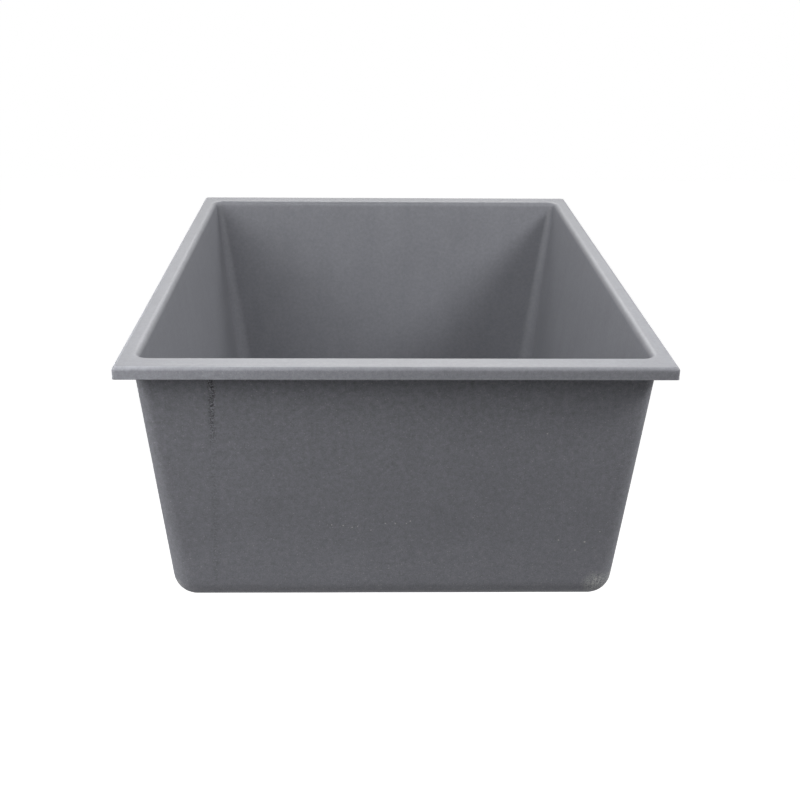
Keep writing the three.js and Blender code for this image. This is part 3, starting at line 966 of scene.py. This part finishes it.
def knob_mesh():
    low, high, radius = ends("stopper_knob")
    bore = STEM_RADIUS + THREAD_GAP
    stem_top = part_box("stopper_stem")[1].z + THREAD_GAP
    cap_low = (low + high) / 2
    edge = (high - low) / 4
    profile = [
        *soften([
            (bore, low), (KNOB_NECK, low), (KNOB_NECK - KNOB_TAPER, cap_low - KNOB_NECK_ROOM),
            (radius, cap_low), (radius, high - edge),
        ], KNOB_EDGE)[2:-2],
        *arc(radius - edge, high - edge, edge, 0, math.pi / 2),
        *((radius * share, high - depth) for share, depth in KNOB_DISH),
        (0, stem_top),
        (bore, stem_top),
    ]

    def shape(angle, r, z):
        if r < radius - FLUTE_FOOT or z < cap_low or z > high - edge * FLUTE_TOP_SHARE:
            return r
        return r - FLUTE_DEPTH * (0.5 + 0.5 * math.cos(angle * KNOB_FLUTES))

    return turned_mesh(profile, TURN_STEPS * 2, shape)


def stem_mesh():
    low, high, radius = ends("stopper_stem")
    profile = soften([(0, low), (radius, low), (radius, high), (0, high)], STEM_EDGE)
    profile[0] = (0, low)
    profile[-1] = (0, high)
    nut_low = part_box("stem_nut")[0].z
    profile = cut_fine(profile, radius, STEM_PITCH / THREAD_STEPS)
    under_nut, over_nut = STEM_THREAD_ENDS
    shape = thread(radius, STEM_PITCH, STEM_CUT, nut_low - under_nut, nut_low + over_nut)
    return turned_mesh(profile, SMALL_TURN_STEPS, shape)


def seal_mesh():
    low, high, radius = ends("stopper_seal")
    bore = STEM_RADIUS + THREAD_GAP
    middle = (low + high) / 2
    dish = high - SEAL_DISH_DEPTH
    return turned_mesh(soften([
        (bore, low), (radius - SEAL_LOW_INSET, low), (radius, middle), (radius - SEAL_TOP_INSET, high),
        (radius - SEAL_LIP_INSET, high), (radius - SEAL_DISH_INSET, dish), (SEAL_DISH_RADIUS, dish),
        (SEAL_HUB_RADIUS, high), (bore, high),
    ], SEAL_EDGE, EDGE_STEPS))


def stem_nut_mesh():
    """A hexagon nut with chamfered corners, its corners on the sides where the node has them."""
    low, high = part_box("stem_nut")
    corner = high.y
    bore = STEM_RADIUS + THREAD_GAP
    bevel = NUT_CHAMFER * NUT_CHAMFER_SHARE
    rows = [(bore, low.z), (corner - NUT_CHAMFER, low.z), (corner, low.z + bevel)]
    rows += [(corner, high.z - bevel), (corner - NUT_CHAMFER, high.z), (bore, high.z)]
    start = math.pi / 6 if high.x < corner * 0.99 else 0

    def shape(angle, r, z):
        turn = (angle + start + math.pi / 6) % (math.pi / 3) - math.pi / 6
        return min(r, corner * math.cos(math.pi / 6) / math.cos(turn))

    return turned_mesh(cut_fine(rows, corner, NUT_CUT_PITCH), NUT_TURN_STEPS, shape)


# Materials

class Nodes:
    """A short way to build a material's node tree."""

    def __init__(self, name):
        self.material = bpy.data.materials.new(name)
        self.material.use_nodes = True
        self.tree = self.material.node_tree
        self.shader = self.tree.nodes["Principled BSDF"]
        self.coords = self.add("ShaderNodeTexCoord").outputs["Object"]

    def add(self, kind, inputs=None, **props):
        node = self.tree.nodes.new(kind)
        for key, value in props.items():
            setattr(node, key, value)
        for key, value in (inputs or {}).items():
            self.put(node.inputs[key], value)
        return node

    def put(self, socket, value):
        if isinstance(value, bpy.types.NodeSocket):
            self.tree.links.new(value, socket)
        else:
            socket.default_value = value

    def noise(self, pattern, vector=None):
        """A noise, by a pattern's scale, detail and roughness."""
        scale, detail, roughness = pattern
        node = self.add("ShaderNodeTexNoise", {
            "Vector": vector or self.coords, "Scale": scale, "Detail": detail, "Roughness": roughness,
        })
        return node.outputs["Fac"]

    def attribute(self, name):
        return self.add("ShaderNodeAttribute", attribute_name=name).outputs["Fac"]

    def stretched(self, shares):
        node = self.add("ShaderNodeVectorMath", {0: self.coords, 1: shares}, operation="MULTIPLY")
        return node.outputs[0]

    def math(self, operation, a, b=0.0):
        node = self.add("ShaderNodeMath", operation=operation)
        self.put(node.inputs[0], a)
        self.put(node.inputs[1], b)
        return node.outputs[0]

    def ramp(self, value, low, high, to_low=0.0, to_high=1.0):
        node = self.add("ShaderNodeMapRange", {
            "Value": value, "From Min": low, "From Max": high, "To Min": to_low, "To Max": to_high,
        })
        return node.outputs["Result"]

    def spread(self, value, to_low=0.0, to_high=1.0):
        """A noise's usual range, spread out."""
        return self.ramp(value, *NOISE_RANGE, to_low, to_high)

    def product(self, first, *others):
        for other in others:
            first = self.math("MULTIPLY", first, other)
        return first

    def mix(self, factor, a, b):
        node = self.add("ShaderNodeMix", data_type="RGBA")
        self.put(node.inputs["Factor"], factor)
        self.put(node.inputs[6], a)
        self.put(node.inputs[7], b)
        return node.outputs[2]

    def mix_value(self, factor, a, b):
        node = self.add("ShaderNodeMix", data_type="FLOAT")
        self.put(node.inputs["Factor"], factor)
        self.put(node.inputs[2], a)
        self.put(node.inputs[3], b)
        return node.outputs[0]

    def cells(self, scale, output):
        return self.add("ShaderNodeTexVoronoi", {"Vector": self.coords, "Scale": scale}).outputs[output]

    def flecks(self, scale, radius, share):
        """Small spots of a radius, in a share of the cells of a size."""
        reach = radius * scale
        spot = self.ramp(self.cells(scale, "Distance"), reach * FLECK_CORE, reach, 1.0, 0.0)
        picked = self.add("ShaderNodeSeparateColor", {0: self.cells(scale, "Color")}).outputs[0]
        return self.math("MULTIPLY", spot, self.math("LESS_THAN", picked, share))

    def spot(self, place, inner, outer):
        """1 within an inner distance of a place, 0 beyond an outer one."""
        away = self.add("ShaderNodeVectorMath", {0: self.coords, 1: place}, operation="DISTANCE")
        return self.ramp(away.outputs["Value"], inner, outer, 1.0, 0.0)

    def bump(self, height, distance, strength=1.0):
        node = self.add("ShaderNodeBump", {"Height": height, "Distance": distance, "Strength": strength})
        return node.outputs["Normal"]

    def set(self, **values):
        for key, value in values.items():
            self.put(self.shader.inputs[key.replace("_", " ")], value)
        return self.material


def on_front_wall(x, depth):
    """A place on the front wall, by its x and its depth under the rim's top."""
    return Vector((x, -shell_half(depth)[1], -depth))


def outside_color(n, grain):
    """The rough outside's colour, with its flecks, specks and scuffs."""
    color = n.mix(n.spread(grain), OUTSIDE_DARK, OUTSIDE_LIGHT)
    for scale, radius, share, strength, fleck in FLECKS:
        color = n.mix(n.product(n.flecks(scale, radius, share), strength), color, fleck)
    for x, depth, size in WALL_SPECKS:
        mark = n.spot(on_front_wall(x * MM, depth * MM), size * SPECK_CORE * MM, size * MM)
        color = n.mix(n.product(mark, SPECK_STRENGTH), color, WHITE_FLECK)
    crumbs = n.ramp(n.noise(CRUMBS), *CRUMB_RANGE)
    for place, reach in SCUFFS:
        mark = n.spot(Vector(place) * MM, reach * SCUFF_CORE * MM, reach * MM)
        color = n.mix(n.product(mark, crumbs, SCUFF_STRENGTH), color, WHITE_FLECK)
    return color


def painted_face_light(n, axes):
    """Painted light on the rim's face, fading from left to right, with a painted highlight on the thin
    edge at its foot.
    """
    from_right = n.math("POWER", n.ramp(axes["X"], HALF_WIDTH, -HALF_WIDTH), FACE_LIGHT_POWER)
    fade = n.ramp(from_right, 0.0, 1.0, FACE_LIGHT_RIGHT, FACE_LIGHT_LEFT)
    # Painted highlight on the thin edge at the face's foot.
    edge = n.ramp(axes["Z"], *EDGE_HIGHLIGHT_HEIGHTS, 1.0, EDGE_HIGHLIGHT)
    return n.product(fade, edge)


def painted_flat_light_and_shade(n, axes):
    """Painted light and shade on the rim's flat top: paler towards the sides and darker towards the back,
    and 1 below it.
    """
    side = n.ramp(n.math("ABSOLUTE", axes["X"]), 0.0, HALF_WIDTH, FLAT_LIGHT_MIDDLE, FLAT_LIGHT_SIDE)
    back = n.ramp(axes["Y"], 0.0, HALF_LENGTH, 1.0, FLAT_SHADE_BACK)
    return n.mix_value(n.ramp(axes["Z"], *FLAT_HEIGHTS), 1.0, n.product(side, back))


def cloud_tone(n, axes, finish):
    outside = n.ramp(axes["Z"], *CLOUD_HEIGHTS, *CLOUD_OUTSIDE)
    cloudy = n.math("SUBTRACT", n.noise(CLOUDS), NOISE_MIDDLE)
    return n.math("ADD", n.product(cloudy, n.mix_value(finish, outside, CLOUD_INSIDE)), 1.0)


# Painted shade in the seam's pits and painted highlights on the grains beside them; the pits are also
# real in the mesh.
def pit_shade_and_glint(n, pits):
    holes = n.ramp(n.noise(HOLES), *HOLE_RANGE, *HOLE_SHADE_AND_GLINT)
    return n.mix_value(n.math("MINIMUM", n.product(pits, HOLE_GAIN), 1.0), 1.0, holes)


def composite_material():
    """Stone-filled acrylic: smooth and even in the basin and on the rim, rough and speckled outside."""
    n = Nodes("granite_composite")
    finish = n.attribute("finish")
    axes = n.add("ShaderNodeSeparateXYZ", {0: n.coords}).outputs
    grain = n.noise(GRAIN)
    fine = n.noise(FINE_GRAIN)
    even = n.mix(n.spread(grain), INSIDE_DARK, INSIDE_LIGHT)
    base = n.mix(finish, outside_color(n, grain), even)
    shade = n.product(
        n.spread(n.noise(MOTTLE), *MOTTLE_SHADE),
        n.spread(n.noise(STREAKS, n.stretched(STREAK_STRETCH)), *STREAK_SHADE),
        # painted bounce light, paler towards the foot of the outside
        n.mix_value(finish, n.ramp(axes["Z"], *FOOT_BOUNCE_LIGHT_HEIGHTS, 1.0, FOOT_BOUNCE_LIGHT), 1.0),
        cloud_tone(n, axes, finish),
        # painted shade in the seam's pits and painted highlights on its grains
        pit_shade_and_glint(n, n.attribute("pits")),
        # painted light on the rim's face and a painted highlight at its foot
        n.mix_value(n.attribute("face_light_rows"), 1.0, painted_face_light(n, axes)),
        # painted light and shade on the rim's flat top
        painted_flat_light_and_shade(n, axes),
    )
    shaded = n.add("ShaderNodeVectorMath", {0: base, 1: shade}, operation="MULTIPLY").outputs[0]
    rough_outside = n.spread(fine, *OUTSIDE_ROUGHNESS)
    rough_inside = n.spread(fine, *INSIDE_ROUGHNESS)
    height = n.mix_value(finish, grain, n.product(grain, GRAIN_INSIDE))
    return n.set(
        Base_Color=shaded,
        Roughness=n.mix_value(finish, rough_outside, rough_inside),
        Normal=n.bump(height, GRAIN_HEIGHT, GRAIN_STRENGTH),
    )


def plain_metal(name, color, roughness):
    """A metal with fine lines that run round the drain's axis."""
    n = Nodes(name)
    place = n.add("ShaderNodeSeparateXYZ", {0: n.coords})
    flat = n.add("ShaderNodeCombineXYZ", {"X": place.outputs["X"], "Y": place.outputs["Y"]}).outputs[0]
    radius = n.add("ShaderNodeVectorMath", {0: flat}, operation="LENGTH").outputs["Value"]
    turned = n.add("ShaderNodeCombineXYZ", {"X": radius, "Y": place.outputs["Z"]}).outputs[0]
    lines = n.noise(LINES, turned)
    rough = n.spread(lines, roughness - LINE_ROUGHNESS, roughness + LINE_ROUGHNESS)
    blotch = n.spread(n.noise(BLOTCHES), -BLOTCH_ROUGHNESS, BLOTCH_ROUGHNESS)
    dark = tuple(c * LINE_SHADE for c in color) + (1,)
    return n.set(
        Base_Color=n.mix(n.spread(lines), dark, color + (1,)),
        Metallic=1.0,
        Roughness=n.math("ADD", rough, blotch),
        Normal=n.bump(lines, LINE_HEIGHT, LINE_STRENGTH),
    )


def black_rubber():
    n = Nodes("black_rubber")
    bloom = n.noise(BLOOM)
    return n.set(
        Base_Color=n.mix(n.ramp(bloom, *BLOOM_RANGE), RUBBER_DARK, RUBBER_DUSTY),
        Roughness=n.spread(bloom, *RUBBER_ROUGHNESS),
        Normal=n.bump(n.noise(RUBBER_GRAIN), RUBBER_HEIGHT, RUBBER_STRENGTH),
    )


def pressed_fibre():
    n = Nodes("pressed_fibre")
    fibres = n.noise(FIBRES, n.stretched(FIBRE_STRETCH))
    board = n.mix(n.spread(fibres), FIBRE_DARK, FIBRE_LIGHT)
    flecks = n.ramp(n.noise(FIBRE_FLECKS), *FIBRE_FLECK_RANGE)
    return n.set(
        Base_Color=n.mix(flecks, board, FIBRE_FLECK),
        Roughness=FIBRE_ROUGHNESS,
        Normal=n.bump(fibres, FIBRE_HEIGHT, FIBRE_STRENGTH),
    )


def white_plastic():
    n = Nodes("white_plastic")
    grain = n.noise(PLASTIC_GRAIN)
    return n.set(
        Base_Color=n.mix(n.spread(n.noise(PLASTIC_CLOUDS)), PLASTIC_DARK, PLASTIC_LIGHT),
        Roughness=n.spread(grain, *PLASTIC_ROUGHNESS),
        Normal=n.bump(grain, PLASTIC_HEIGHT, PLASTIC_STRENGTH),
    )


# Stage, camera and light

def make_camera():
    data = bpy.data.cameras.new("camera")
    data.sensor_width = SENSOR
    data.lens = FOCAL_PIXELS / FRAME_PIXELS * SENSOR
    data.shift_x = (FRAME_PIXELS / 2 - CENTRE_X_PIXELS) / FRAME_PIXELS
    data.shift_y = (CENTRE_Y_PIXELS - FRAME_PIXELS / 2) / FRAME_PIXELS
    camera = bpy.data.objects.new("camera", data)
    forward = Vector((
        math.sin(CAMERA_YAW) * math.cos(CAMERA_PITCH),
        math.cos(CAMERA_YAW) * math.cos(CAMERA_PITCH),
        -math.sin(CAMERA_PITCH),
    ))
    right = Vector((math.cos(CAMERA_YAW), -math.sin(CAMERA_YAW), 0))
    up = right.cross(forward)
    rolled_right = math.cos(CAMERA_ROLL) * right + math.sin(CAMERA_ROLL) * up
    rolled_up = -math.sin(CAMERA_ROLL) * right + math.cos(CAMERA_ROLL) * up
    turn = Matrix((rolled_right, rolled_up, -forward)).transposed()
    camera.matrix_world = Matrix.Translation(CAMERA_PLACE) @ turn.to_4x4()
    bpy.context.scene.collection.objects.link(camera)
    bpy.context.scene.camera = camera


def seen_directly(tree):
    """1 for rays that the eye, a mirror or glass sends, 0 for those that only carry light."""
    path = tree.nodes.new("ShaderNodeLightPath")
    seen = path.outputs["Is Camera Ray"]
    for name in ("Is Glossy Ray", "Is Transmission Ray"):
        larger = tree.nodes.new("ShaderNodeMath")
        larger.operation = "MAXIMUM"
        tree.links.new(seen, larger.inputs[0])
        tree.links.new(path.outputs[name], larger.inputs[1])
        seen = larger.outputs[0]
    return seen


def make_world(level):
    world = bpy.data.worlds.new("studio")
    bpy.context.scene.world = world
    world.use_nodes = True
    tree = world.node_tree
    background = tree.nodes["Background"]
    background.inputs["Color"].default_value = (1, 1, 1, 1)
    strength = tree.nodes.new("ShaderNodeMix")
    tree.links.new(seen_directly(tree), strength.inputs["Factor"])
    strength.inputs[2].default_value = level
    strength.inputs[3].default_value = 1
    tree.links.new(strength.outputs[0], background.inputs["Strength"])


def make_floor():
    """A pale floor that looks white where no shadow lies on it, without lighting the object more."""
    signs = ((-1, -1), (1, -1), (1, 1), (-1, 1))
    corners = [(x * FLOOR_HALF, y * FLOOR_HALF, FLOOR_Z) for x, y in signs]
    floor = make_object("floor", corners, [(0, 1, 2, 3)], smooth=False)
    n = Nodes("pale_floor")
    n.tree.nodes.remove(n.shader)
    paint = n.add("ShaderNodeBsdfDiffuse", {"Color": FLOOR_COLOR})
    away = n.add("ShaderNodeVectorMath", {0: n.coords, 1: (0, 0, FLOOR_Z)}, operation="DISTANCE")
    spread = n.ramp(away.outputs["Value"], FLOOR_NEAR, FLOOR_FAR, FLOOR_GLOW_NEAR, FLOOR_GLOW_FAR)
    glow = n.add("ShaderNodeEmission", {"Strength": n.product(seen_directly(n.tree), spread)})
    both = n.add("ShaderNodeAddShader", {0: paint.outputs[0], 1: glow.outputs[0]})
    n.put(n.tree.nodes["Material Output"].inputs["Surface"], both.outputs[0])
    floor.data.materials.append(n.material)


def make_lamp(name, place, side, power):
    data = bpy.data.lights.new(name, "AREA")
    data.shape = "RECTANGLE"
    data.size = side
    data.size_y = side
    data.energy = power
    lamp = bpy.data.objects.new(name, data)
    lamp.location = place
    lamp.rotation_euler = (LAMP_AIM - Vector(place)).to_track_quat("-Z", "Y").to_euler()
    bpy.context.scene.collection.objects.link(lamp)


bowl = make_bowl()
bowl.data.materials.append(composite_material())
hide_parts("bowl")
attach(bowl, "sink")

brushed = plain_metal("brushed_stainless", *BRUSHED_STAINLESS)
polished = plain_metal("polished_stainless", *POLISHED_STAINLESS)
zinc = plain_metal("dull_zinc", *DULL_ZINC)
brass = plain_metal("machined_brass", *MACHINED_BRASS)
rubber = black_rubber()
fibre = pressed_fibre()
plastic = white_plastic()

ON_STEM = STEM_RADIUS + THREAD_GAP
RING_BORE = BARREL_RADIUS + THREAD_GAP
TUBE_BORE = TUBE_RADIUS - TUBE_WALL
PIECES = {
    "sink": (
        ("drain_flange_pad", plain_ring("flange_pad", HOLE_RADIUS, PAD_EDGE), "flange_pad",
         "black_rubber", rubber),
        ("drain_cup", cup_mesh(), "strainer_cup", "stainless", brushed),
        ("drain_gasket", plain_ring("sink_gasket", RING_BORE, GASKET_EDGE), "sink_gasket",
         "black_rubber", rubber),
        ("drain_friction_ring", plain_ring("friction_ring", RING_BORE, FIBRE_EDGE), "friction_ring",
         "fibre", fibre),
        ("drain_locknut", locknut_mesh(), "locknut", "zinc", zinc),
        ("drain_tail_washer", plain_ring("tailpiece_washer", TUBE_BORE, TAIL_WASHER_EDGE),
         "tailpiece_washer", "white_plastic", plastic),
        ("drain_tailpiece", tailpiece_mesh(), "tailpiece", "stainless", polished),
        ("drain_coupling_nut", coupling_mesh(), "coupling_nut", "brass", brass),
    ),
    "strainer_basket": (
        ("basket_grip_ring", plain_ring("grip_ring", ON_STEM, GRIP_EDGE), "grip_ring",
         "black_rubber", rubber),
    ),
    "stopper": (
        ("plug_stem", stem_mesh(), "stopper_stem", "stainless", polished),
        ("plug_knob", knob_mesh(), "stopper_knob", "stainless", polished),
        ("plug_seal", seal_mesh(), "stopper_seal", "black_rubber", rubber),
        ("plug_washer", plain_ring("seal_washer", ON_STEM, WASHER_EDGE), "seal_washer",
         "stainless", brushed),
        ("plug_nut", stem_nut_mesh(), "stem_nut", "brass", brass),
    ),
}
for body, pieces in PIECES.items():
    for piece in pieces:
        finish_piece(body, *piece)

sheet = make_object("basket_sheet", *basket_mesh())
thicken = sheet.modifiers.new("thickness", "SOLIDIFY")
thicken.thickness = BASKET_WALL
thicken.offset = 0
smooth = sheet.modifiers.new("smooth", "SUBSURF")
smooth.levels = 1
smooth.render_levels = 1
sheet.data.materials.append(brushed)
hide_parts("basket")
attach(sheet, "strainer_basket")
hub = make_object("basket_hub", *hub_mesh())
hub.data.set_sharp_from_angle(angle=SHARP_ANGLE)
hub.data.materials.append(brushed)
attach(hub, "strainer_basket")

make_camera()
make_world(WORLD_LEVEL)
make_floor()
for lamp in LAMPS:
    make_lamp(*lamp)

bpy.context.scene.view_settings.view_transform = "Standard"
